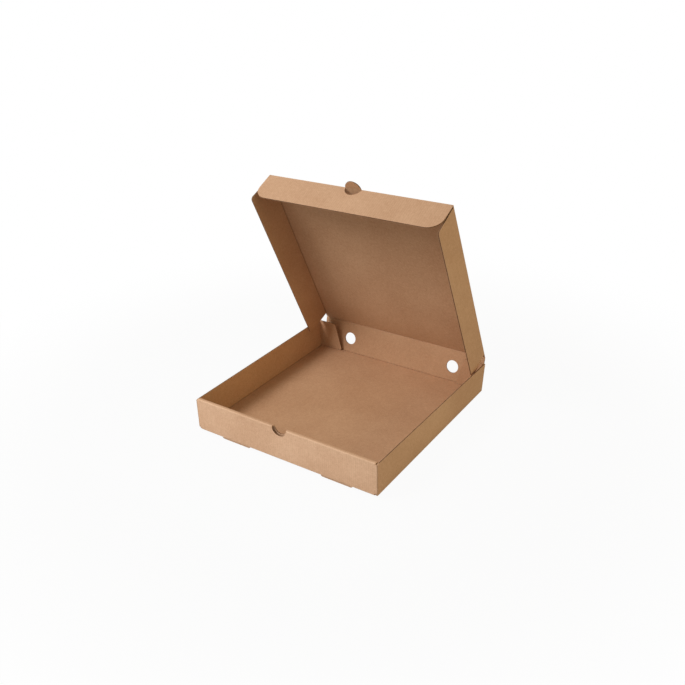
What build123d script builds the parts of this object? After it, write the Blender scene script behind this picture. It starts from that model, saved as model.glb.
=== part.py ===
from build123d import *
from math import cos, radians, sin, tan
import os

# Corrugated pizza box, die-cut from one sheet and folded, with its lid raised.
# Millimetres. The origin is the centre of the tray's underside, +Z is up and the
# lock tabs, the thumb notch and the camera side are towards -Y.

# Board
board = 1.6
fold_radius = 1.8
fold_gap = 0.08
layer_gap = 0.15
free_corner = 3.0

# Tray
tray_width = 300.0
tray_depth = 310.0
front_height = 50.0
side_height = 48.5
side_lean = 3.0

# Front wall: outer layer, roll-over strip and inner layer
front_thickness = 5.6
rollover_set_in = 3.0
rollover_drop = 2.0
notch_radius = 12.0
inner_notch_radius = 10.8
thumb_x = -3.0

# Lock tabs and their slots
lock_spacing = 170.0
lock_width = 50.0
lock_reach = 5.0
slot_clearance = 0.3

# Corner flaps that the side walls carry
front_flap_reach = 45.0
front_flap_height = 43.0
front_flap_rise = 3.0
rear_flap_top_reach = 34.0
rear_flap_foot_reach = 43.0
rear_flap_height = 48.0
rear_flap_rise = 2.2
rear_flap_stand_off = 3.8

# Rear wall, which leans back with the lid
rear_length = 52.2
rear_lean = 13.0
rear_lean_closed = 3.0
vent_radius = 10.0
vent_spacing = 190.0
vent_rise = 24.3

# Lid
lid_width = 292.0
lid_length = 304.2
lid_angle = 64.7
thumb_radius = 12.5
thumb_clearance = 0.3
crease_radius = 1.0

# Lid front flap
front_flap_depth = 46.0
front_flap_corner = 20.0

# Lid sides
lid_side_depth = 49.5
lid_side_splay = 2.5
lid_side_start = 9.4
lid_side_front_gap = 1.1
lid_side_corner = 5.0
side_hinge_gap = 0.1

# Places worked out from the sizes
side_x = tray_width / 2
front_y = -tray_depth / 2
rear_y = tray_depth / 2
inner_front_y = front_y + front_thickness
layer_y = front_y + board + layer_gap
rear_flap_y = rear_y - rear_flap_stand_off
corner_relief = 2 * fold_radius
lock_places = [-lock_spacing / 2, lock_spacing / 2]
hinge_point = Vector(0, rear_y + rear_length * sin(radians(rear_lean)), rear_length * cos(radians(rear_lean)))

# Each board runs away from its fold along one of these directions
up_rear_wall = Vector(0, sin(radians(rear_lean)), cos(radians(rear_lean)))
along_lid = Vector(0, -cos(radians(lid_angle)), sin(radians(lid_angle)))
into_lid = Vector(0, -sin(radians(lid_angle)), -cos(radians(lid_angle)))
into_rear_wall = Vector(0, -cos(radians(rear_lean)), sin(radians(rear_lean)))
front_crease = hinge_point + along_lid * lid_length

# How far the inner face stops short of a fold, so that two boards meet when it is closed
foot_mitre = board / tan(radians((90 + rear_lean_closed) / 2))
hinge_mitre = board / tan(radians((90 - rear_lean_closed) / 2))
flap_mitre = board


def across(y):
    """Plane square to Y at the given place, with X to the right and Z up."""
    return Plane.XZ.offset(-y)


def section_plane(origin, along, width):
    """Plane at the left end of a board, with x along the board and y into its thickness."""
    return Plane(origin=origin, x_dir=along, z_dir=(1, 0, 0)).offset(-width / 2)


def mitred_section(plane, length, near_mitre, far_mitre, far_gap):
    """Side view of a board from one fold to the next, cut back on its inner face."""
    with BuildSketch(plane) as section:
        with BuildLine():
            Polyline(
                (fold_gap, 0),
                (length - far_gap, 0),
                (length - far_gap - far_mitre, board),
                (fold_gap + near_mitre, board),
                close=True,
            )
        make_face()
    return section.sketch


def folded_section(plane, points, inner_side):
    """Side view of a board that follows the outer line through the points, rounded at its folds."""
    with BuildSketch(plane) as section:
        with BuildLine():
            FilletPolyline(*points, radius=fold_radius)
            offset(amount=board, side=inner_side)
        make_face()
    return section.sketch


def wall_section(side, y, lean):
    """End view of a side wall with the lip of floor that it rises from, on the left or the right."""
    foot = (side * side_x, 0)
    lip = (side * (side_x - corner_relief), 0)
    top = (side * (side_x + lean), side_height)
    return folded_section(across(y), [lip, foot, top], Side.LEFT if side > 0 else Side.RIGHT)


# Tray: floor, side walls, rolled-over front wall and all four corner flaps
with BuildPart() as tray:
    # Floor, cut back at the rear for the fold of the rear wall
    floor_width = tray_width - 3 * fold_radius
    with BuildSketch(Plane.YZ.offset(-floor_width / 2)):
        with BuildLine():
            Polyline(
                (front_y + corner_relief, 0),
                (rear_y - fold_gap, 0),
                (rear_y - fold_gap - foot_mitre, board),
                (front_y + corner_relief, board),
                close=True,
            )
        make_face()
    extrude(amount=floor_width)

    # Outer layer of the front wall, with a small relief at each lower corner
    outer_top = front_height - rollover_drop
    lip_width = floor_width - 2 * fold_radius
    outer_points = [(front_y + 3 * fold_radius, 0), (front_y, 0), (front_y, outer_top)]
    extrude(folded_section(Plane.YZ.offset(-lip_width / 2), outer_points, Side.RIGHT), amount=lip_width)
    with BuildSketch(across(front_y)):
        with Locations((0, outer_top)):
            Rectangle(tray_width, outer_top - corner_relief, align=(Align.CENTER, Align.MAX))
    extrude(amount=-board)

    # Roll-over strip and inner layer
    rollover_width = tray_width - 2 * rollover_set_in
    rollover_points = [
        (front_y, front_height / 2),
        (front_y, front_height),
        (inner_front_y, front_height),
        (inner_front_y, board + layer_gap),
    ]
    extrude(
        folded_section(Plane.YZ.offset(-rollover_width / 2), rollover_points, Side.LEFT), amount=rollover_width
    )

    # Side walls, upright at the front and leaning out at the rear
    for side in (-1, 1):
        front_end = wall_section(side, layer_y, 0)
        rear_end = wall_section(side, rear_flap_y, side_lean)
        loft([front_end, rear_end], ruled=True)

    # Front corner flaps, trapped between the two layers of the front wall
    for side in (-1, 1):
        fold_x = side * (side_x - board / 2)
        free_x = side * (side_x - front_flap_reach)
        flap_top = front_flap_rise + front_flap_height
        with BuildSketch(across(layer_y)) as front_flap:
            with BuildLine():
                Polyline(
                    (fold_x, front_flap_rise),
                    (fold_x, flap_top),
                    (free_x, flap_top - free_corner),
                    (free_x, front_flap_rise + free_corner),
                    close=True,
                )
            make_face()
        extrude(amount=-board)

    # Rear corner flaps, standing in front of the rear wall
    for side in (-1, 1):
        wall_middle = side_x - board / 2
        with BuildSketch(across(rear_flap_y)) as rear_flap:
            with BuildLine():
                Polyline(
                    (side * (wall_middle + side_lean * rear_flap_rise / side_height), rear_flap_rise),
                    (side * (wall_middle + side_lean * rear_flap_height / side_height), rear_flap_height),
                    (side * (side_x + side_lean - rear_flap_top_reach), rear_flap_height),
                    (side * (side_x - rear_flap_foot_reach), rear_flap_rise),
                    close=True,
                )
            make_face()
            fillet(rear_flap.vertices().sort_by(lambda corner: abs(corner.X))[:2], radius=free_corner)
        extrude(amount=board)

    # Slots in the floor, and the lock tabs that pass through them
    lock_y = inner_front_y - board / 2
    with BuildSketch(Plane.XY):
        for lock_x in lock_places:
            with Locations((lock_x, lock_y)):
                Rectangle(lock_width + 2 * slot_clearance, board + 2 * slot_clearance)
    extrude(amount=board, mode=Mode.SUBTRACT)
    with BuildSketch(across(inner_front_y)) as lock_tabs:
        for lock_x in lock_places:
            with Locations((lock_x, board + layer_gap)):
                Rectangle(lock_width, 2 * (board + layer_gap + lock_reach))
        fillet(lock_tabs.vertices().group_by(Axis.Z)[0], radius=free_corner)
    extrude(amount=board)

    # Thumb notch, a little shallower in the inner layer
    with BuildSketch(across(front_y + 2 * board)):
        with Locations((thumb_x, front_height)):
            Circle(notch_radius)
    extrude(amount=3 * board, mode=Mode.SUBTRACT)
    with BuildSketch(across(inner_front_y + board)):
        with Locations((thumb_x, front_height)):
            Circle(inner_notch_radius)
    extrude(amount=front_thickness + 2 * board, mode=Mode.SUBTRACT)
tray.part.label = "tray"

# Rear wall with its two vent holes
with BuildPart() as rear_wall:
    rear_foot = Vector(0, rear_y, 0)
    rear_section_plane = section_plane(rear_foot, up_rear_wall, lid_width)
    extrude(
        mitred_section(rear_section_plane, rear_length, foot_mitre, hinge_mitre, fold_gap), amount=lid_width
    )
    with BuildSketch(Plane(origin=rear_foot, x_dir=(1, 0, 0), z_dir=into_rear_wall)):
        with Locations((-vent_spacing / 2, vent_rise), (vent_spacing / 2, vent_rise)):
            Circle(vent_radius)
    extrude(amount=2 * board, both=True, mode=Mode.SUBTRACT)
rear_wall.part.label = "rear_wall"

# Lid panel, rounded along its side folds, with the thumb tab in its plane
with BuildPart() as lid:
    lid_section_plane = section_plane(hinge_point, along_lid, lid_width)
    extrude(mitred_section(lid_section_plane, lid_length, hinge_mitre, flap_mitre, fold_gap), amount=lid_width)
    long_edges = lid.edges().filter_by(Axis(hinge_point, along_lid))
    fillet(long_edges.sort_by(Axis(hinge_point, into_lid))[:2], radius=crease_radius)
    with BuildSketch(Plane(origin=front_crease, x_dir=(1, 0, 0), z_dir=into_lid)):
        with Locations((thumb_x, 0)):
            Circle(thumb_radius)
    extrude(amount=board)
lid.part.label = "lid"

# Lid front flap, with rounded free corners and the half-moon that the thumb tab leaves
with BuildPart() as lid_front_flap:
    flap_section_plane = section_plane(front_crease, into_lid, lid_width)
    extrude(mitred_section(flap_section_plane, front_flap_depth, flap_mitre, 0, 0), amount=lid_width)
    free_corners = lid_front_flap.edges().filter_by(Axis(front_crease, along_lid))
    fillet(free_corners, radius=front_flap_corner)
    with BuildSketch(Plane(origin=front_crease, x_dir=(1, 0, 0), z_dir=along_lid)):
        with Locations((thumb_x, 0)):
            Circle(thumb_radius + thumb_clearance)
    extrude(amount=2 * board, both=True, mode=Mode.SUBTRACT)
lid_front_flap.part.label = "lid_front_flap"

# Lid sides, which hang from the panel's underside and splay a little outwards
splay_up = Vector(cos(radians(lid_side_splay)), 0, 0) - into_lid * sin(radians(lid_side_splay))
side_hinge = hinge_point + into_lid * (board + side_hinge_gap) + Vector(lid_width / 2 - board, 0, 0)
side_end = lid_length - board - lid_side_front_gap
side_drop = lid_side_depth - board - side_hinge_gap
with BuildPart() as lid_right_side:
    with BuildSketch(Plane(origin=side_hinge, x_dir=along_lid, z_dir=splay_up)) as side_outline:
        with BuildLine():
            Polyline(
                (lid_side_start, 0),
                (side_end, 0),
                (side_end, side_drop),
                (lid_side_start, side_drop),
                close=True,
            )
        make_face()
        fillet(side_outline.vertices().sort_by(Axis.Y)[-2:], radius=lid_side_corner)
    extrude(amount=board)
lid_right_side.part.label = "lid_right_side"

with BuildPart() as lid_left_side:
    mirror(lid_right_side.part, about=Plane.YZ)
lid_left_side.part.label = "lid_left_side"

os.makedirs("parts", exist_ok=True)
export_step(tray.part, "parts/tray.step")
export_step(rear_wall.part, "parts/rear_wall.step")
export_step(lid.part, "parts/lid.step")
export_step(lid_front_flap.part, "parts/lid_front_flap.step")
export_step(lid_left_side.part, "parts/lid_left_side.step")
export_step(lid_right_side.part, "parts/lid_right_side.step")
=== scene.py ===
"""Looks of a plain corrugated pizza box with its lid raised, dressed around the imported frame."""
import logging
import math
from dataclasses import dataclass, field
from enum import Enum
from typing import Sequence, Union

import bpy
from mathutils import Matrix, Vector


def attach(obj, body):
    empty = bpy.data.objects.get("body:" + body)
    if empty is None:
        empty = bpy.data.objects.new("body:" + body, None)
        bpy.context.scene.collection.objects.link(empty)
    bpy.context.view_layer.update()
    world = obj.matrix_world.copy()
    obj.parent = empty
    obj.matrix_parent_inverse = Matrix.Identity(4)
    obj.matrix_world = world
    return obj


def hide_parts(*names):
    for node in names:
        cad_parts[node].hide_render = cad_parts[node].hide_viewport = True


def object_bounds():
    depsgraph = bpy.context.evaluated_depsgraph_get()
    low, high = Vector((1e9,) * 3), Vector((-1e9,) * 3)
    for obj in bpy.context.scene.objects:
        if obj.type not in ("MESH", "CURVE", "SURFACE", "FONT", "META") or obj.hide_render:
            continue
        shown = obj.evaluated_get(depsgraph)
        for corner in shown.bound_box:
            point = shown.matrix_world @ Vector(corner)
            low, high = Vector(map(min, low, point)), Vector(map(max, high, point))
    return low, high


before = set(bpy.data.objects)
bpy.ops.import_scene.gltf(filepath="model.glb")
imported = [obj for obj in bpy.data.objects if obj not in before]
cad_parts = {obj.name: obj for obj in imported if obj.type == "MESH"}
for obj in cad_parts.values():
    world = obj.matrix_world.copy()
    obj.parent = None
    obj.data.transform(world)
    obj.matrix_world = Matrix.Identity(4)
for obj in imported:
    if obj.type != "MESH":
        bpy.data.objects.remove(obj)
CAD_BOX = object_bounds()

log = logging.getLogger("pizza_box")
Triple = tuple[float, float, float]
Colour = Triple
Point = tuple[float, float]
Line = tuple[Vector, Vector]
Value = Union["Wire", float, int, Sequence[float]]

MM = 0.001
WHITE = (1, 1, 1, 1)


def linear(red: int, green: int, blue: int) -> Colour:
    """Turns a colour written as 0 to 255 on a screen into the linear values that shaders take.

    Args:
        red: red, 0 to 255.
        green: green, 0 to 255.
        blue: blue, 0 to 255.

    Returns:
        The linear red, green and blue.
    """
    return tuple(
        part / 12.92 if part <= 0.04045 else ((part + 0.055) / 1.055) ** 2.4
        for part in (red / 255, green / 255, blue / 255)
    )


class Wire:
    """A shader value. Arithmetic on it adds Math nodes to its graph."""

    def __init__(self, graph: "Graph", socket: bpy.types.NodeSocket) -> None:
        """Holds the socket that gives the value."""
        self.graph = graph
        self.socket = socket

    def math(self, operation: str, *others: Value, before: bool = False) -> "Wire":
        """Adds one Math node.

        Args:
            operation: the Math node's operation.
            others: its other operands.
            before: whether the others come first.

        Returns:
            The result.
        """
        inputs = dict(enumerate([*others, self] if before else [self, *others]))
        node = self.graph.node("ShaderNodeMath", {"operation": operation}, inputs)
        return Wire(self.graph, node.outputs[0])

    def __add__(self, other: Value) -> "Wire":
        """Sum."""
        return self.math("ADD", other)

    def __radd__(self, other: Value) -> "Wire":
        """Sum, number first."""
        return self.math("ADD", other)

    def __sub__(self, other: Value) -> "Wire":
        """Difference."""
        return self.math("SUBTRACT", other)

    def __rsub__(self, other: Value) -> "Wire":
        """Difference, number first."""
        return self.math("SUBTRACT", other, before=True)

    def __mul__(self, other: Value) -> "Wire":
        """Product."""
        return self.math("MULTIPLY", other)

    def __rmul__(self, other: Value) -> "Wire":
        """Product, number first."""
        return self.math("MULTIPLY", other)

    def ramp(self, low: float, high: float) -> "Wire":
        """Goes smoothly from 0 at the low value to 1 at the high one."""
        node = self.graph.node(
            "ShaderNodeMapRange",
            {"interpolation_type": "SMOOTHSTEP"},
            {"Value": self, "From Min": low, "From Max": high},
        )
        return Wire(self.graph, node.outputs[0])


class Graph:
    """The node graph of a material or of the world."""

    def __init__(self, owner: bpy.types.Material | bpy.types.World) -> None:
        """Starts with no nodes."""
        self.owner = owner
        self.owner.use_nodes = True
        self.tree = self.owner.node_tree
        self.tree.nodes.clear()

    def node(
        self, kind: str, settings: dict | None = None, inputs: dict | None = None
    ) -> bpy.types.Node:
        """Adds a node.

        Args:
            kind: the node's type.
            settings: its properties, set before its sockets.
            inputs: values or wires by socket name or number.

        Returns:
            The node.
        """
        made = self.tree.nodes.new(kind)
        for key, value in (settings or {}).items():
            setattr(made, key, value)
        for key, value in (inputs or {}).items():
            socket = made.inputs[key]
            if isinstance(value, Wire):
                self.tree.links.new(value.socket, socket)
            else:
                socket.default_value = value
        return made

    def coordinate(self, output: str = "Object") -> Wire:
        """Object coordinates in metres, or the surface's own Normal."""
        return Wire(self, self.node("ShaderNodeTexCoord").outputs[output])

    def vectors(self, operation: str, first: Value, second: Value) -> bpy.types.Node:
        """Adds one Vector Math node."""
        return self.node("ShaderNodeVectorMath", {"operation": operation}, {0: first, 1: second})

    def along(self, place: Wire, direction: Value) -> Wire:
        """How far a place lies along a direction."""
        return Wire(self, self.vectors("DOT_PRODUCT", place, direction).outputs["Value"])

    def length(self, place: Wire) -> Wire:
        """How long a vector is."""
        node = self.node("ShaderNodeVectorMath", {"operation": "LENGTH"}, {0: place})
        return Wire(self, node.outputs["Value"])

    def vector(self, x: Value, y: Value, z: Value) -> Wire:
        """Three values as one vector."""
        return Wire(self, self.node("ShaderNodeCombineXYZ", None, {0: x, 1: y, 2: z}).outputs[0])

    def noise(self, place: Wire, scale: float, detail: float, rough: float) -> Wire:
        """Cloudy noise between 0 and 1."""
        inputs = {"Vector": place, "Scale": scale, "Detail": detail, "Roughness": rough}
        return Wire(self, self.node("ShaderNodeTexNoise", None, inputs).outputs["Fac"])

    def mix(self, share: Value, first: Value, second: Value, blend: str = "MIX") -> Wire:
        """Mixes two colours by a share of the second.

        Args:
            share: how much of the second colour shows.
            first: the colour at 0.
            second: the colour at 1.
            blend: the way the two are mixed.

        Returns:
            The mixed colour.
        """
        settings = {"data_type": "RGBA", "blend_type": blend, "clamp_factor": True}
        sockets = {
            number: value if isinstance(value, (Wire, float)) else (*value, 1.0)
            for number, value in ((0, share), (6, first), (7, second))
        }
        return Wire(self, self.node("ShaderNodeMix", settings, sockets).outputs[2])

    def bump(self, height: Wire) -> Wire:
        """Turns a height in metres into a normal."""
        inputs = {"Height": height, "Strength": 1.0, "Distance": 1.0}
        return Wire(self, self.node("ShaderNodeBump", None, inputs).outputs[0])

    def surface(self, inputs: dict) -> bpy.types.Material:
        """Ends the graph in a principled surface.

        Args:
            inputs: values or wires for the shader's sockets.

        Returns:
            The material.
        """
        shader = self.node("ShaderNodeBsdfPrincipled", None, inputs)
        self.node("ShaderNodeOutputMaterial", None, {"Surface": Wire(self, shader.outputs[0])})
        return self.owner


ACROSS = Vector((1, 0, 0))
REARWARD = Vector((0, 1, 0))
UPWARD = Vector((0, 0, 1))
INTO_LID = Vector((0.0, -0.904083, -0.427358))
ALONG_LID = Vector((0.0, -0.427358, 0.904083))
INTO_REAR_WALL = Vector((0.0, -0.974370, 0.224951))
HINGE = Vector((0.0, 0.166742, 0.050862))
REAR_FOOT = Vector((0.0, 0.155, 0.0))
BOARD = 1.6 * MM
FLUTE_PITCH = 3.2 * MM
TRAY_HALF_WIDTH = 150 * MM
TRAY_MIDDLE_Z = 30 * MM
FRONT_Y = -155 * MM
INNER_FRONT_Y = -149.4 * MM
FRONT_FOLD_Z = 49.6 * MM
THUMB_X = -3 * MM
LID_LENGTH = 304.2 * MM
LID_HALF_WIDTH = 146 * MM
LID_MIDDLE_DROP = 25 * MM
SIDE_HINGE_X = 144.4 * MM
SIDE_HINGE_DROP = 1.7 * MM
FRONT_CREASE = HINGE + ALONG_LID * LID_LENGTH
PAPER_SMOOTH = math.radians(40)
BOARD_SMOOTH = math.radians(30)


def either_side(middle: Vector, offset: float, direction: Vector) -> tuple[Line, Line]:
    """The same fold on the right and on the left of the box.

    Args:
        middle: a point halfway between the two.
        offset: how far each lies from it.
        direction: the way that both run.

    Returns:
        The right fold and the left one.
    """
    return (middle + ACROSS * offset, direction), (middle - ACROSS * offset, direction)


class Grain(Enum):
    """Which way the flutes of a board are counted, with their slight skew to its edges."""

    ACROSS_BOX = (1.0, 0.003, 0.004)
    INTO_SIDE = (0.004, -0.906, -0.424)


class Count(Enum):
    """Which way a cut edge counts its flutes in the board's plane, with their slight skew."""

    ACROSS = (1.0, 0.004)
    ACROSS_END = (1.0, 0.01)
    DOWN = (0.006, 1.0)
    DOWN_SIDE = (0.005, 1.0)


@dataclass(frozen=True)
class Speckle:
    """Noise that is the same in every direction: its scale, detail and roughness."""

    scale: float
    detail: float
    rough: float

    def lay(self, place: Wire) -> Wire:
        """The noise at a place."""
        return place.graph.noise(place, self.scale, self.detail, self.rough)


@dataclass(frozen=True)
class Streaks:
    """Noise that is stretched on a board's three axes: its scales, detail and roughness."""

    across: float
    along: float
    through: float
    detail: float
    rough: float

    def lay(self, axes: Sequence[Wire]) -> Wire:
        """The noise on a board's three axes."""
        graph = axes[0].graph
        scales = (self.across, self.along, self.through)
        place = graph.vector(*(axis * scale for axis, scale in zip(axes, scales)))
        return graph.noise(place, 1.0, self.detail, self.rough)


@dataclass(frozen=True)
class KraftLiner:
    """Uncoated brown liner: fibres, flecks, faint clouds and the flutes that show through.

    The face that looks away from the middle of the sub-assembly is the outer liner. It shows more
    of the flutes, and it is tinted paler and greyer than the inner one as painted light, for the
    whiter light on the outside. Both are pale along folds, partly from stretched liner and partly
    as a painted highlight on the rounded fold, and dark along creases and inner corners as
    painted shade.
    """

    name: str
    grain: Grain
    middle: Vector
    folds: tuple[Line, ...] = ()
    creases: tuple[Line, ...] = ()
    pale: Colour = linear(208, 168, 132)
    dark: Colour = linear(170, 126, 91)
    fleck: Colour = linear(126, 88, 58)
    straw: Colour = linear(226, 192, 154)
    # Pale along folds: partly stretched, worn liner and partly a painted highlight on the rounded
    # fold.
    worn_and_highlight: Colour = linear(228, 196, 162)
    # Painted shade along creases and inner corners.
    crease_shade: Colour = linear(92, 60, 36)
    # Painted light: the outer faces' paler, greyer tint, for the whiter light on the outside.
    outer_painted_light_tint: Colour = (1.1, 1.15, 1.24)
    wear_and_highlight_reach: float = 2.0 * MM
    wear_and_highlight_share: float = 0.2
    crease_shade_reach: float = 1.9 * MM
    crease_shade_share: float = 0.3
    mark_core: float = 0.3
    along: Triple = (0.37, 1.0, 1.0)
    through: Triple = (1.0, -0.6, 0.4)
    clouds: Speckle = Speckle(11.0, 3.0, 0.55)
    mottle: Speckle = Speckle(260.0, 5.0, 0.7)
    wander: Speckle = Speckle(30.0, 2.0, 0.5)
    strands: Streaks = Streaks(210.0, 1500.0, 900.0, 4.0, 0.65)
    threads: Streaks = Streaks(900.0, 260.0, 700.0, 3.0, 0.6)
    chips: Streaks = Streaks(420.0, 1100.0, 700.0, 1.0, 0.4)
    ribs: Streaks = Streaks(330.0, 16.0, 16.0, 3.0, 0.6)
    wander_turn: float = 0.6
    cloud_share: float = 0.45
    mottle_share: float = 0.45
    strand_share: float = 0.8
    thread_share: float = 0.25
    flute_share: float = 0.035
    rib_share: float = 0.1
    chip_low: float = 0.66
    chip_high: float = 0.78
    fleck_share: float = 0.35
    straw_share: float = 0.3
    tone_low: float = 0.05
    tone_high: float = 0.95
    face_reach: float = 2.0 * MM
    flute_pitch: float = FLUTE_PITCH
    flute_depth: float = 0.02 * MM
    fibre_depth: float = 0.016 * MM
    roughness: float = 0.82
    roughness_swing: float = 0.16
    specular: float = 0.3

    def beside(self, place: Wire, line: Line, strands: Wire, reach: float) -> Wire:
        """How near the liner is to one fold or crease.

        Args:
            place: object coordinates.
            line: a point of the fold and the way that it runs.
            strands: noise that breaks its edge up.
            reach: how far the mark spreads from the line.

        Returns:
            1 on the line, 0 out of its reach.
        """
        graph = place.graph
        start, direction = line
        off = Wire(graph, graph.vectors("SUBTRACT", place, start).outputs[0])
        aside = graph.vectors("CROSS_PRODUCT", off, direction.normalized()).outputs[0]
        away = graph.length(Wire(graph, aside))
        return 1.0 - (away + (strands - 0.5) * reach).ramp(self.mark_core * reach, reach)

    def make(self) -> bpy.types.Material:
        """Builds the material."""
        graph = Graph(bpy.data.materials.new(self.name))
        place = graph.coordinate()
        axes = [graph.along(place, axis) for axis in (self.grain.value, self.along, self.through)]
        clouds = self.clouds.lay(place)
        mottle = self.mottle.lay(place)
        strands = self.strands.lay(axes)
        threads = self.threads.lay(axes)
        chips = self.chips.lay(axes)
        ribs = self.ribs.lay(axes)
        wander = self.wander.lay(place)
        turns = axes[0] * (2 * math.pi / self.flute_pitch) + wander * self.wander_turn
        flutes = turns.math("SINE")
        spoke = Wire(graph, graph.vectors("SUBTRACT", place, self.middle).outputs[0])
        facing = graph.along(graph.coordinate("Normal"), spoke)
        outward = facing.ramp(-self.face_reach, self.face_reach)
        shown = flutes * self.flute_share + (ribs - 0.5) * self.rib_share
        tone = 0.5 + (clouds - 0.5) * self.cloud_share + (mottle - 0.5) * self.mottle_share
        tone = tone + (strands - 0.5) * self.strand_share + (threads - 0.5) * self.thread_share
        tone = tone + outward * shown
        colour = graph.mix(tone.ramp(self.tone_low, self.tone_high), self.dark, self.pale)
        dim = chips.ramp(self.chip_low, self.chip_high) * self.fleck_share
        colour = graph.mix(dim, colour, self.fleck)
        bright = (1.0 - chips).ramp(self.chip_low, self.chip_high) * self.straw_share
        colour = graph.mix(bright, colour, self.straw)
        # Painted light: outward faces take the paler, greyer tint.
        colour = graph.mix(outward, colour, graph.mix(1.0, colour, self.outer_painted_light_tint, "MULTIPLY"))
        # Pale bands along the folds: partly wear and partly painted highlight.
        for line in self.folds:
            near = self.beside(place, line, strands, self.wear_and_highlight_reach)
            colour = graph.mix(near * self.wear_and_highlight_share, colour, self.worn_and_highlight)
        # Painted shade: dark lines along creases and inner corners.
        for line in self.creases:
            near = self.beside(place, line, strands, self.crease_shade_reach)
            colour = graph.mix(near * self.crease_shade_share, colour, self.crease_shade)
        height = flutes * (0.5 * self.flute_depth) + (strands + mottle) * self.fibre_depth
        return graph.surface(
            {
                "Base Color": colour,
                "Roughness": self.roughness + (strands - 0.5) * self.roughness_swing,
                "Specular IOR Level": self.specular,
                "Normal": graph.bump(height),
            }
        )


@dataclass(frozen=True)
class FluteMedium:
    """Thin recycled paper between the liners, duller than they are; its dark brown is partly its
    own and partly painted shade of the hollow between the liners.
    """

    name: str
    # Partly painted shade: these dark browns also stand for the shade in the hollow between the
    # liners.
    pale: Colour = linear(142, 95, 57)
    dark: Colour = linear(84, 51, 27)
    mottle: Speckle = Speckle(900.0, 4.0, 0.7)
    clouds: Speckle = Speckle(60.0, 2.0, 0.5)
    mottle_share: float = 0.7
    cloud_share: float = 0.3
    tone_low: float = 0.3
    tone_high: float = 0.7
    depth: float = 0.03 * MM
    roughness: float = 0.85
    roughness_swing: float = 0.2
    specular: float = 0.25

    def make(self) -> bpy.types.Material:
        """Builds the material."""
        graph = Graph(bpy.data.materials.new(self.name))
        place = graph.coordinate()
        mottle = self.mottle.lay(place)
        clouds = self.clouds.lay(place)
        tone = mottle * self.mottle_share + clouds * self.cloud_share
        tone = tone.ramp(self.tone_low, self.tone_high)
        return graph.surface(
            {
                "Base Color": graph.mix(tone, self.dark, self.pale),
                "Roughness": self.roughness + (mottle - 0.5) * self.roughness_swing,
                "Specular IOR Level": self.specular,
                "Normal": graph.bump(mottle * self.depth),
            }
        )


class Bench:
    """The bpy.ops steps that every piece is modelled with."""

    @staticmethod
    def clear() -> None:
        """Leaves nothing selected."""
        if bpy.context.mode != "OBJECT":
            bpy.ops.object.mode_set(mode="OBJECT")
        bpy.ops.object.select_all(action="DESELECT")

    @staticmethod
    def hold(piece: bpy.types.Object) -> None:
        """Makes one piece the only selected and the active one."""
        Bench.clear()
        piece.select_set(True)
        bpy.context.view_layer.objects.active = piece

    @staticmethod
    def apply(piece: bpy.types.Object, kind: str, **settings: object) -> None:
        """Adds a modifier and applies it.

        Args:
            piece: the piece to change.
            kind: the modifier's type.
            settings: its properties.
        """
        Bench.hold(piece)
        modifier = piece.modifiers.new(kind.lower(), kind)
        for key, value in settings.items():
            setattr(modifier, key, value)
        bpy.ops.object.modifier_apply(modifier=modifier.name)

    @staticmethod
    def strip(name: str, length: float, low: float, high: float, steps: int) -> bpy.types.Object:
        """Adds a flat strip that starts at the origin and runs along X.

        Args:
            name: the piece's name.
            length: its length.
            low: its lower edge in Y.
            high: its upper edge in Y.
            steps: how many faces it has along its length.

        Returns:
            The strip.
        """
        Bench.clear()
        bpy.ops.mesh.primitive_grid_add(x_subdivisions=steps, y_subdivisions=1, size=1.0)
        piece = bpy.context.object
        piece.name = name
        bpy.ops.object.mode_set(mode="EDIT")
        bpy.ops.mesh.select_all(action="SELECT")
        bpy.ops.transform.resize(value=(length, high - low, 1.0), center_override=(0, 0, 0))
        bpy.ops.transform.translate(value=(length / 2, (high + low) / 2, 0))
        bpy.ops.object.mode_set(mode="OBJECT")
        return piece

    @staticmethod
    def set_in(piece: bpy.types.Object, place: Matrix) -> None:
        """Moves a piece to its place and puts that place into its mesh."""
        Bench.hold(piece)
        piece.matrix_world = place
        bpy.ops.object.transform_apply(location=True, rotation=True, scale=True)

    @staticmethod
    def mirrored(piece: bpy.types.Object, name: str) -> bpy.types.Object:
        """Copies a piece to the other side of the box, with its faces outward again."""
        Bench.hold(piece)
        bpy.ops.object.duplicate(linked=False)
        copy = bpy.context.object
        copy.name = name
        bpy.ops.object.mode_set(mode="EDIT")
        bpy.ops.mesh.select_all(action="SELECT")
        bpy.ops.transform.resize(value=(-1, 1, 1), center_override=(0, 0, 0))
        bpy.ops.mesh.normals_make_consistent(inside=False)
        bpy.ops.object.mode_set(mode="OBJECT")
        return copy

    @staticmethod
    def node_copy(node: str, name: str) -> bpy.types.Object:
        """Copies a node of the frame and merges its loose triangles."""
        Bench.hold(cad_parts[node])
        bpy.ops.object.duplicate(linked=False)
        copy = bpy.context.object
        copy.name = name
        copy.parent = None
        for key in list(copy.keys()):
            if key.startswith("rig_"):
                del copy[key]
        bpy.ops.object.mode_set(mode="EDIT")
        bpy.ops.mesh.select_all(action="SELECT")
        bpy.ops.mesh.remove_doubles(threshold=0.002 * MM)
        bpy.ops.object.mode_set(mode="OBJECT")
        if copy.data.has_custom_normals:
            bpy.ops.mesh.customdata_custom_splitnormals_clear()
        return copy

    @staticmethod
    def dress(piece: bpy.types.Object, material: bpy.types.Material) -> None:
        """Gives a piece its material."""
        piece.data.materials.clear()
        piece.data.materials.append(material)

    @staticmethod
    def join(pieces: Sequence[bpy.types.Object]) -> bpy.types.Object:
        """Joins pieces into the first of them."""
        Bench.hold(pieces[0])
        for piece in pieces:
            piece.select_set(True)
        if len(pieces) > 1:
            bpy.ops.object.join()
        return pieces[0]


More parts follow.
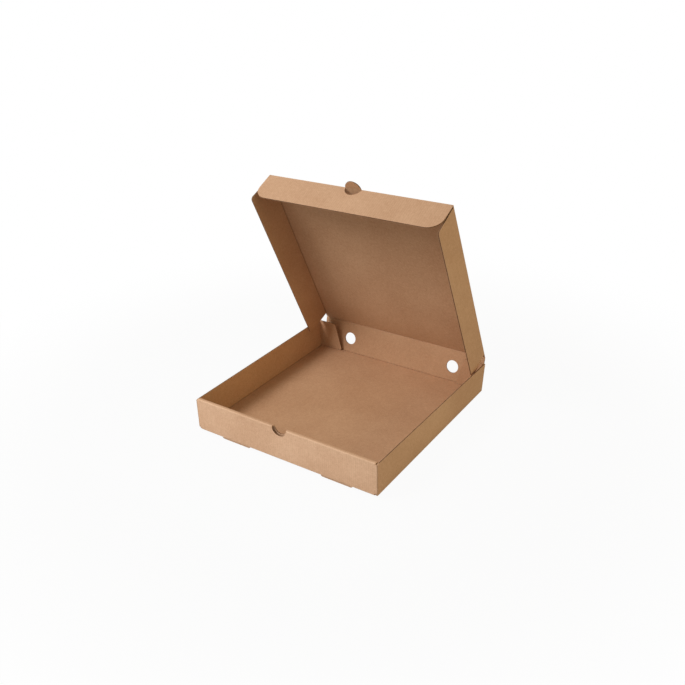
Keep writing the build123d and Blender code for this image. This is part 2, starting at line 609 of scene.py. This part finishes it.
@dataclass(frozen=True)
class BoardPlane:
    """The plane of one board: a corner of its outer face, a way along it and its outward normal."""

    corner: Vector
    along: Vector
    outward: Vector

    def matrix(self) -> Matrix:
        """The place of the board's middle layer, with X along it and Z outward."""
        z = self.outward.normalized()
        x = (self.along - z * self.along.dot(z)).normalized()
        turn = Matrix((x, z.cross(x), z)).transposed()
        return Matrix.Translation(self.corner - z * (BOARD / 2)) @ turn.to_4x4()


def arc(middle: Point, radius: float, start: float, end: float, steps: int) -> list[Point]:
    """Points round an arc.

    Args:
        middle: its centre.
        radius: its radius.
        start: its first angle in degrees.
        end: its last angle in degrees.
        steps: how many pieces it has.

    Returns:
        The points, both ends among them.
    """
    turns = (math.radians(start + (end - start) * step / steps) for step in range(steps + 1))
    return [
        (middle[0] + radius * math.cos(turn), middle[1] + radius * math.sin(turn))
        for turn in turns
    ]


def rounded(corners: Sequence[Point], radius: float, steps: int = 8) -> list[Point]:
    """Runs through corners, each but the first and the last rounded.

    Args:
        corners: the corner points.
        radius: the rounding radius.
        steps: how many pieces each rounding has.

    Returns:
        The points of the run.
    """
    points = [Vector(corners[0])]
    for before, corner, after in zip(corners, corners[1:], corners[2:]):
        corner = Vector(corner)
        back = (Vector(before) - corner).normalized()
        ahead = (Vector(after) - corner).normalized()
        half = back.angle(ahead) / 2
        reach = radius / math.tan(half)
        middle = corner + (back + ahead).normalized() * (radius / math.sin(half))
        first = corner + back * reach - middle
        last = corner + ahead * reach - middle
        for step in range(steps + 1):
            share = step / steps
            points.append(middle + (first * (1 - share) + last * share).normalized() * radius)
    points.append(Vector(corners[-1]))
    return [tuple(point) for point in points]


@dataclass(frozen=True)
class CutEdge:
    """One run of cut edge on a board, with the board on the left of the run."""

    name: str
    plane: BoardPlane
    points: list[Point]
    count: Count
    closed: bool = False
    mirrored: bool = False
    groove_width: float = 1.0 * MM
    groove_depth: float = 1.1 * MM
    overshoot: float = 0.6 * MM
    medium_thickness: float = 0.17 * MM
    medium_depth: float = 0.95 * MM
    medium_set_back: float = 0.06 * MM
    wave_height: float = 0.41 * MM
    flute_pitch: float = FLUTE_PITCH
    step: float = 0.4 * MM
    groove_steps: int = 3
    phases: int = 16
    seam: float = 0.05 * MM

    def length(self) -> float:
        """Length of the run."""
        loop = [*self.points, self.points[0]] if self.closed else self.points
        return sum((Vector(b) - Vector(a)).length for a, b in zip(loop, loop[1:]))

    def bent(self, name: str, low: float, high: float, steps: int) -> bpy.types.Object:
        """Lays a flat strip along the run.

        Args:
            name: the strip's name.
            low: how far it starts from the run, to the right of it if negative.
            high: how far it reaches to the left of the run.
            steps: how many faces it has along the run.

        Returns:
            The strip, in the board's own plane.
        """
        strip = Bench.strip(name, self.length(), low, high, steps)
        data = bpy.data.curves.new("run", "CURVE")
        data.dimensions = "3D"
        data.twist_mode = "Z_UP"
        spline = data.splines.new("POLY")
        spline.points.add(len(self.points) - 1)
        for point, place in zip(spline.points, self.points):
            point.co = (*place, 0.0, 1.0)
        spline.use_cyclic_u = self.closed
        guide = bpy.data.objects.new("run", data)
        bpy.context.scene.collection.objects.link(guide)
        Bench.apply(strip, "CURVE", object=guide, deform_axis="POS_X")
        bpy.data.objects.remove(guide)
        if self.closed:
            bpy.ops.object.mode_set(mode="EDIT")
            bpy.ops.mesh.select_all(action="SELECT")
            bpy.ops.mesh.remove_doubles(threshold=self.seam)
            bpy.ops.object.mode_set(mode="OBJECT")
        return strip

    def groove(self) -> bpy.types.Object:
        """Makes the slab that hollows the board between its liners."""
        steps = round(self.length() / (self.groove_steps * self.step))
        slab = self.bent(f"{self.name}_groove", -self.overshoot, self.groove_depth, steps)
        Bench.apply(slab, "SOLIDIFY", thickness=self.groove_width, offset=0.0)
        Bench.set_in(slab, self.plane.matrix())
        return slab

    def medium(self) -> bpy.types.Object:
        """Makes the waved paper that shows between the liners."""
        steps = round(self.length() / self.step)
        inner = self.medium_set_back + self.medium_depth
        ribbon = self.bent(f"{self.name}_medium", self.medium_set_back, inner, steps)
        across, down = self.count.value
        counted = [
            int((v.co.x * across + v.co.y * down) / self.flute_pitch * self.phases) % self.phases
            for v in ribbon.data.vertices
        ]
        Bench.hold(ribbon)
        for phase in range(self.phases):
            for vertex, mine in zip(ribbon.data.vertices, counted):
                vertex.select = mine == phase
            height = self.wave_height * math.sin(2 * math.pi * phase / self.phases)
            bpy.ops.object.mode_set(mode="EDIT")
            bpy.ops.mesh.select_mode(type="VERT")
            bpy.ops.transform.translate(value=(0, 0, height))
            bpy.ops.object.mode_set(mode="OBJECT")
        Bench.apply(ribbon, "SOLIDIFY", thickness=self.medium_thickness, offset=0.0)
        bpy.ops.object.shade_smooth_by_angle(angle=PAPER_SMOOTH)
        Bench.set_in(ribbon, self.plane.matrix())
        return ribbon


@dataclass
class Board:
    """One folded or flat board of the box: a node of the frame with its cut edges opened up."""

    node: str
    body: str
    liner: bpy.types.Material
    flute: bpy.types.Material

    def edges(self) -> list[CutEdge]:
        """The cut edges that show, on the right side and in the middle."""
        raise NotImplementedError

    def build(self) -> bpy.types.Object:
        """Opens the cut edges of the node's copy and sets the waved paper in them.

        Returns:
            The finished piece.
        """
        piece = Bench.node_copy(self.node, f"{self.node}_board")
        Bench.dress(piece, self.liner)
        media = []
        for edge in self.edges():
            grooves = [edge.groove()]
            media.append(edge.medium())
            if edge.mirrored:
                grooves.append(Bench.mirrored(grooves[0], "groove_left"))
                media.append(Bench.mirrored(media[-1], "medium_left"))
            for groove in grooves:
                Bench.dress(groove, self.flute)
                Bench.apply(
                    piece,
                    "BOOLEAN",
                    object=groove,
                    operation="DIFFERENCE",
                    solver="MANIFOLD",
                    material_mode="TRANSFER",
                )
                bpy.data.objects.remove(groove)
        Bench.hold(piece)
        bpy.ops.object.shade_smooth_by_angle(angle=BOARD_SMOOTH)
        for medium in media:
            Bench.dress(medium, self.flute)
        Bench.join([piece, *media])
        piece.name = f"{self.node}_board"
        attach(piece, self.body)
        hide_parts(self.node)
        log.info("%s: %d faces", piece.name, len(piece.data.polygons))
        return piece


@dataclass
class Tray(Board):
    """Floor, side walls, rolled-over front wall and corner flaps."""

    wall_lean: float = 3 * MM
    wall_top: float = 48.5 * MM
    layer_y: float = -153.25 * MM
    rear_flap_y: float = 151.2 * MM
    flap_low: float = 2.2 * MM
    flap_high: float = 48 * MM
    flap_foot_x: float = 107 * MM
    flap_top_x: float = 119 * MM
    fold_margin: float = 2.6 * MM
    front_top: float = 50 * MM
    notch: float = 12 * MM
    notch_dip: float = 14.0
    inner_notch: float = 10.8 * MM
    inner_notch_dip: float = 16.0
    notch_steps: int = 24
    free_corner: float = 3 * MM

    def edges(self) -> list[CutEdge]:
        """Top of the side wall, rear corner flap's free edges, and the notch in both layers."""
        front = Vector((TRAY_HALF_WIDTH, self.layer_y, self.wall_top))
        rear = Vector((TRAY_HALF_WIDTH + self.wall_lean, self.rear_flap_y, self.wall_top))
        wall_run = rear - front
        wall = BoardPlane(front, wall_run, wall_run.cross(UPWARD))
        flap = BoardPlane(REARWARD * self.rear_flap_y, -ACROSS, REARWARD)
        wall_points = [(wall_run.length - self.fold_margin, 0.0), (self.fold_margin, 0.0)]
        flap_points = rounded(
            [
                (-TRAY_HALF_WIDTH + self.fold_margin, self.flap_low),
                (-self.flap_foot_x, self.flap_low),
                (-self.flap_top_x, self.flap_high),
                (-TRAY_HALF_WIDTH - self.wall_lean + 2 * self.fold_margin, self.flap_high),
            ],
            self.free_corner,
        )
        outer = BoardPlane(REARWARD * FRONT_Y, ACROSS, -REARWARD)
        inner = BoardPlane(REARWARD * INNER_FRONT_Y, -ACROSS, REARWARD)
        outer_points = self.dipped(THUMB_X, self.notch, self.notch_dip)
        inner_points = self.dipped(-THUMB_X, self.inner_notch, self.inner_notch_dip)
        return [
            CutEdge("tray_wall_top", wall, wall_points, Count.DOWN, mirrored=True),
            CutEdge("tray_rear_flap", flap, flap_points, Count.DOWN, mirrored=True),
            CutEdge("notch_outer", outer, outer_points, Count.ACROSS),
            CutEdge("notch_inner", inner, inner_points, Count.ACROSS),
        ]

    def dipped(self, x: float, radius: float, dip: float) -> list[Point]:
        """The thumb notch in one layer, from one end to the other, each a dip below the top."""
        return arc((x, self.front_top), radius, -dip, dip - 180, self.notch_steps)


@dataclass
class RearWall(Board):
    """Rear wall with its two vent holes."""

    length: float = 52.2 * MM
    vent_x: float = 95 * MM
    vent_rise: float = 24.3 * MM
    vent_radius: float = 10 * MM
    vent_steps: int = 48
    end_margin: float = 2.4 * MM

    def edges(self) -> list[CutEdge]:
        """The vent's rim and the wall's upright end, on one side."""
        plane = BoardPlane(REAR_FOOT, -ACROSS, -INTO_REAR_WALL)
        vent = (-self.vent_x, self.vent_rise)
        rim = arc(vent, self.vent_radius, 360, 0, self.vent_steps)[:-1]
        end = [(-LID_HALF_WIDTH, rise) for rise in (self.length - self.end_margin, self.end_margin)]
        return [
            CutEdge("vent_rim", plane, rim, Count.ACROSS, closed=True, mirrored=True),
            CutEdge("rear_wall_end", plane, end, Count.ACROSS_END, mirrored=True),
        ]


@dataclass
class LidPanel(Board):
    """Lid panel with its thumb tab."""

    thumb_radius: float = 12.5 * MM
    thumb_rise: float = 5.0
    thumb_steps: int = 24

    def edges(self) -> list[CutEdge]:
        """The thumb tab's round edge."""
        plane = BoardPlane(FRONT_CREASE, -ACROSS, -INTO_LID)
        ends = self.thumb_rise, 180 - self.thumb_rise
        tab = arc((-THUMB_X, 0), self.thumb_radius, *ends, self.thumb_steps)
        return [CutEdge("thumb_tab", plane, tab, Count.ACROSS)]


@dataclass
class FrontFlap(Board):
    """Lid front flap with its rounded corners and the half-moon under the thumb tab."""

    depth: float = 46 * MM
    corner: float = 20 * MM
    corner_steps: int = 16
    moon_radius: float = 12.8 * MM
    moon_dip: float = 9.0
    moon_steps: int = 24
    fold_margin: float = 1.8 * MM

    def edges(self) -> list[CutEdge]:
        """The free edge from fold to fold, and the half-moon."""
        plane = BoardPlane(FRONT_CREASE, ACROSS, ALONG_LID)
        corners = [
            (-LID_HALF_WIDTH, -self.fold_margin),
            (-LID_HALF_WIDTH, -self.depth),
            (LID_HALF_WIDTH, -self.depth),
            (LID_HALF_WIDTH, -self.fold_margin),
        ]
        free = rounded(corners, self.corner, self.corner_steps)
        ends = -self.moon_dip, self.moon_dip - 180
        moon = arc((THUMB_X, 0), self.moon_radius, *ends, self.moon_steps)
        return [
            CutEdge("flap_edge", plane, free, Count.ACROSS),
            CutEdge("flap_moon", plane, moon, Count.ACROSS),
        ]


@dataclass
class LidSide(Board):
    """One lid side: the right one, or its mirror image."""

    left: bool = False
    splay: float = 2.5
    start: float = 9.4 * MM
    end: float = 301.5 * MM
    drop: float = 47.8 * MM
    corner: float = 5 * MM
    fold_margin: float = 0.8 * MM

    def edges(self) -> list[CutEdge]:
        """The three free edges in one run."""
        turn = math.radians(self.splay)
        hand = -1 if self.left else 1
        outward = Vector((hand * math.cos(turn), 0, 0)) - INTO_LID * math.sin(turn)
        hinge = HINGE + INTO_LID * SIDE_HINGE_DROP + ACROSS * (hand * SIDE_HINGE_X)
        plane = BoardPlane(hinge + outward * BOARD, ALONG_LID, outward)
        corners = [
            (self.end, hand * self.fold_margin),
            (self.end, hand * self.drop),
            (self.start, hand * self.drop),
            (self.start, hand * self.fold_margin),
        ]
        run = rounded(corners[::hand], self.corner)
        return [CutEdge(f"{self.node}_edge", plane, run, Count.DOWN_SIDE)]


@dataclass
class FoldBeads:
    """Thin rounded ridges of crushed board, which fill the groove between two folded boards."""

    liner: bpy.types.Material
    radius: float = 0.5 * MM
    set_in: float = 0.6 * MM
    half_width: float = 145.2 * MM
    thumb_gap: float = 13.6 * MM
    foot_rise: float = 0.3
    sides: int = 20
    end_bevel: float = 0.2 * MM
    bevel_segments: int = 3

    def run(self, middle: Vector, inward: Vector, low: float, high: float) -> bpy.types.Object:
        """Lays one unbroken run of bead.

        Args:
            middle: a point of the fold at the middle of the box.
            inward: the direction into both boards.
            low: where the run starts along X.
            high: where it ends.

        Returns:
            The run.
        """
        Bench.clear()
        centre = middle + inward.normalized() * self.set_in + ACROSS * ((low + high) / 2)
        bpy.ops.mesh.primitive_cylinder_add(
            vertices=self.sides,
            radius=self.radius,
            depth=high - low,
            location=centre,
            rotation=(0, math.pi / 2, 0),
        )
        piece = bpy.context.object
        bpy.ops.object.transform_apply(location=True, rotation=True, scale=True)
        Bench.apply(
            piece,
            "BEVEL",
            width=self.end_bevel,
            segments=self.bevel_segments,
            limit_method="ANGLE",
        )
        bpy.ops.object.shade_smooth_by_angle(angle=PAPER_SMOOTH)
        return piece

    def bead(self, name: str, body: str, runs: Sequence[bpy.types.Object]) -> None:
        """Makes one piece of the runs along a fold.

        Args:
            name: the bead's name.
            body: the body that it rides on.
            runs: its runs.
        """
        piece = Bench.join(runs)
        piece.name = name
        Bench.dress(piece, self.liner)
        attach(piece, body)
        log.info("%s: %d faces", name, len(piece.data.polygons))

    def build(self) -> None:
        """Lays the beads of the rear wall's two folds and of the front flap's fold."""
        whole = -self.half_width, self.half_width
        foot = self.run(REAR_FOOT, UPWARD * self.foot_rise - REARWARD, *whole)
        self.bead("rear_foot_crease", "rear_wall", [foot])
        top = self.run(HINGE, INTO_LID + INTO_REAR_WALL, *whole)
        self.bead("rear_top_crease", "rear_wall", [top])
        parted = (
            (-self.half_width, THUMB_X - self.thumb_gap),
            (THUMB_X + self.thumb_gap, self.half_width),
        )
        front = [self.run(FRONT_CREASE, INTO_LID - ALONG_LID, *ends) for ends in parted]
        self.bead("front_crease", "lid", front)


@dataclass(frozen=True)
class Lamp:
    """One soft lamp: where it hangs, what it points at, its size, watts, colour and throw."""

    name: str
    place: Triple
    aim: Triple
    size: Point
    power: float
    tint: Colour
    spread: float = 180.0

    def hang(self) -> None:
        """Puts the lamp into the scene."""
        data = bpy.data.lights.new(self.name, "AREA")
        data.shape = "RECTANGLE"
        data.size, data.size_y = self.size
        data.energy = self.power
        data.spread = math.radians(self.spread)
        data.color = self.tint
        holder = bpy.data.objects.new(self.name, data)
        holder.location = self.place
        holder.visible_camera = False
        away = Vector(self.place) - Vector(self.aim)
        holder.rotation_euler = away.to_track_quat("Z", "Y").to_euler()
        bpy.context.scene.collection.objects.link(holder)


@dataclass
class Studio:
    """Camera, lamps, floor and backdrop."""

    eye: Vector = field(default_factory=lambda: Vector((0.5774, -0.8490, 0.6341)))
    back: Vector = field(default_factory=lambda: Vector((0.5027, -0.7356, 0.4541)))
    right: Vector = field(default_factory=lambda: Vector((0.8322, 0.5540, -0.0236)))
    lens: float = 42.41
    sensor: float = 36.0
    floor_half: float = 6.0
    paper: float = 0.42
    own_white: float = 0.95
    fade_near: float = 0.35
    fade_far: float = 0.75
    world_power: float = 0.37
    world_tint: Colour = (1.0, 0.94, 0.78)
    lamps: tuple[Lamp, ...] = (
        Lamp(
            name="key",
            place=(-1.05, -1.22, 1.5),
            aim=(0, 0, 0.1),
            size=(0.9, 0.9),
            power=32.0,
            tint=(1.0, 1.0, 1.04),
        ),
        Lamp(
            name="front_bounce",
            place=(-0.05, -0.32, 0.03),
            aim=(-0.05, -0.16, 0.03),
            size=(0.5, 0.06),
            power=0.08,
            tint=(0.9, 1.0, 1.12),
            spread=90.0,
        ),
        Lamp(
            name="warm_fill",
            place=(1.9, 0.1, 0.5),
            aim=(0, 0, 0.1),
            size=(1.2, 1.2),
            power=9.8,
            tint=(1.0, 0.79, 0.37),
        ),
    )

    def camera(self) -> None:
        """Puts the camera where the photograph was taken from."""
        data = bpy.data.cameras.new("camera")
        data.lens = self.lens
        data.sensor_width = self.sensor
        data.clip_start = 0.01
        data.clip_end = 50.0
        holder = bpy.data.objects.new("camera", data)
        back = self.back.normalized()
        right = (self.right - back * self.right.dot(back)).normalized()
        turn = Matrix((right, back.cross(right), back)).transposed()
        holder.matrix_world = Matrix.Translation(self.eye) @ turn.to_4x4()
        bpy.context.scene.collection.objects.link(holder)
        bpy.context.scene.camera = holder

    @staticmethod
    def seen(graph: Graph) -> Wire:
        """1 for what the camera, a mirror or clear glass sees, 0 for light that is passed on."""
        rays = graph.node("ShaderNodeLightPath")
        kinds = ("Camera", "Glossy", "Transmission")
        camera, glossy, clear = (Wire(graph, rays.outputs[f"Is {kind} Ray"]) for kind in kinds)
        return (camera + glossy + clear).math("MINIMUM", 1.0)

    @staticmethod
    def end(
        graph: Graph, output: str, share: Wire, first: bpy.types.Node, second: bpy.types.Node
    ) -> None:
        """Ends a graph in a mix of two shaders.

        Args:
            graph: the graph.
            output: the type of its output node.
            share: how much of the second shader shows.
            first: the shader at 0.
            second: the shader at 1.
        """
        sockets = {0: share, 1: Wire(graph, first.outputs[0]), 2: Wire(graph, second.outputs[0])}
        mixed = graph.node("ShaderNodeMixShader", None, sockets)
        graph.node(output, None, {"Surface": Wire(graph, mixed.outputs[0])})

    def floor(self, height: float) -> None:
        """Lays the white floor that the box stands on.

        Args:
            height: the floor's height.
        """
        Bench.clear()
        bpy.ops.mesh.primitive_plane_add(size=2 * self.floor_half, location=(0, 0, height))
        plane = bpy.context.object
        plane.name = "floor"
        graph = Graph(bpy.data.materials.new("floor_paper"))
        paper = graph.node(
            "ShaderNodeBsdfPrincipled",
            None,
            {"Base Color": (*[self.paper] * 3, 1), "Roughness": 0.95, "Specular IOR Level": 0.1},
        )
        white = graph.node("ShaderNodeEmission", None, {"Color": WHITE, "Strength": 1.0})
        away = graph.length(graph.coordinate())
        share = self.own_white + away.ramp(self.fade_near, self.fade_far) * (1.0 - self.own_white)
        Studio.end(graph, "ShaderNodeOutputMaterial", Studio.seen(graph) * share, paper, white)
        plane.data.materials.append(graph.owner)

    def world(self) -> None:
        """Surrounds the scene with even light, and shows white where there is no floor."""
        world = bpy.data.worlds.new("studio")
        bpy.context.scene.world = world
        graph = Graph(world)
        light = {"Color": (*self.world_tint, 1), "Strength": self.world_power}
        dim = graph.node("ShaderNodeBackground", None, light)
        white = graph.node("ShaderNodeBackground", None, {"Color": WHITE, "Strength": 1.0})
        Studio.end(graph, "ShaderNodeOutputWorld", Studio.seen(graph), dim, white)

    def build(self, lowest: float) -> None:
        """Sets up the whole studio around the box.

        Args:
            lowest: the height of the surface that the box stands on.
        """
        self.camera()
        self.world()
        self.floor(lowest)
        for lamp in self.lamps:
            lamp.hang()
        bpy.context.scene.view_settings.view_transform = "Standard"


def main() -> None:
    """Builds the studio and every board in order."""
    logging.basicConfig(level=logging.INFO, format="%(message)s")
    Studio().build(CAD_BOX[0].z)
    tray_middle = UPWARD * TRAY_MIDDLE_Z
    lid_middle = HINGE + ALONG_LID * (LID_LENGTH / 2) + INTO_LID * LID_MIDDLE_DROP
    # Folds with pale bands: partly wear and partly painted highlight.
    tray_folds = (
        (Vector((0, FRONT_Y, FRONT_FOLD_Z)), ACROSS),
        (Vector((0, INNER_FRONT_Y, FRONT_FOLD_Z)), ACROSS),
        (REARWARD * FRONT_Y, ACROSS),
        *either_side(Vector(), TRAY_HALF_WIDTH, REARWARD),
        (REAR_FOOT, ACROSS),
        (HINGE, ACROSS),
    )
    # Lines of painted shade: the inner corners of the floor and side walls, and the front outer
    # corners.
    tray_creases = (
        *either_side(UPWARD * BOARD, TRAY_HALF_WIDTH - BOARD, REARWARD),
        *either_side(REARWARD * FRONT_Y, TRAY_HALF_WIDTH, UPWARD),
    )
    lid_folds = (
        (HINGE, ACROSS),
        (FRONT_CREASE, ACROSS),
        *either_side(HINGE, LID_HALF_WIDTH, ALONG_LID),
    )
    # Lines of painted shade along the lid sides' hinges.
    lid_creases = either_side(HINGE + INTO_LID * SIDE_HINGE_DROP, SIDE_HINGE_X, ALONG_LID)
    across = Grain.ACROSS_BOX
    tray_liner = KraftLiner("kraft_tray", across, tray_middle, tray_folds, tray_creases).make()
    lid_liner = KraftLiner("kraft_lid", across, lid_middle, lid_folds, lid_creases).make()
    side_liner = KraftLiner("kraft_lid_side", Grain.INTO_SIDE, lid_middle, (), lid_creases).make()
    flute = FluteMedium("flute_paper").make()
    Tray("tray", "tray", tray_liner, flute).build()
    RearWall("rear_wall", "rear_wall", tray_liner, flute).build()
    LidPanel("lid", "lid", lid_liner, flute).build()
    FrontFlap("lid_front_flap", "lid_front_flap", lid_liner, flute).build()
    LidSide("lid_right_side", "lid_right_side", side_liner, flute).build()
    LidSide("lid_left_side", "lid_left_side", side_liner, flute, left=True).build()
    FoldBeads(tray_liner).build()


if __name__ == "__main__":
    main()
